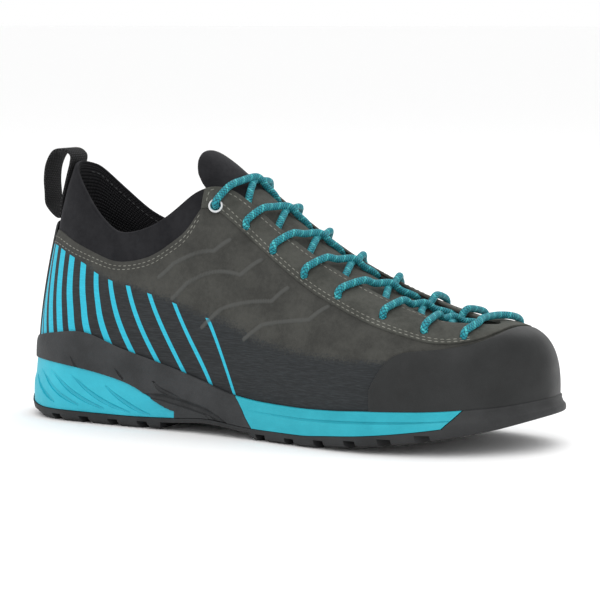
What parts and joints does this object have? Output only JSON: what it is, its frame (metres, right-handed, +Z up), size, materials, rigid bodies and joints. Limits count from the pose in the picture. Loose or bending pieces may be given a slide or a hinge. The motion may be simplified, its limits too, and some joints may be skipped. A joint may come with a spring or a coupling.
{
  "type": "approach shoe",
  "caption": "Low approach shoe for the right foot: suede upper laced to the toe, stretch collar with pull loop, rubber toe rand, layered foam sole and lugged outsole.",
  "frame": {"origin": "centre of the footprint on the floor", "axes": "+X to the toe, +Y to the wearer's inner side (left of a right shoe), +Z up"},
  "size_m": [0.2972, 0.1028, 0.1408],
  "materials": {
    "outsole_rubber": "matt black rubber",
    "turquoise_foam": "moulded turquoise foam",
    "midsole_foam": "fine-grained dark foam",
    "footbed": "black cloth-topped footbed",
    "suede": "grey-brown suede with a black stretch collar",
    "eyestay_suede": "lighter grey-brown suede",
    "rand_rubber": "smooth dark rubber",
    "dark_cloth": "black woven cloth",
    "lace": "round braided lace, teal with a lighter fleck",
    "metal": "bright eyelet",
    "webbing": "black webbing"
  },
  "bodies": {
    "root": {"outsole": "outsole_rubber", "heel_insert": "turquoise_foam", "forefoot_insert": "turquoise_foam", "midsole": "midsole_foam", "insole": "footbed", "upper": "suede", "eyestay": "eyestay_suede", "toe_rand": "rand_rubber", "heel_strip": "dark_cloth", "tongue": "dark_cloth", "lace_cross_1": "lace", "lace_cross_2": "lace", "lace_cross_3": "lace", "lace_cross_4": "lace", "lace_cross_5": "lace", "lace_cross_6": "lace", "lace_cross_7": "lace", "lace_toe_bar": "lace", "eyelet_outer": "metal", "eyelet_inner": "metal", "pull_loop": "webbing"}
  },
  "joints": []
}
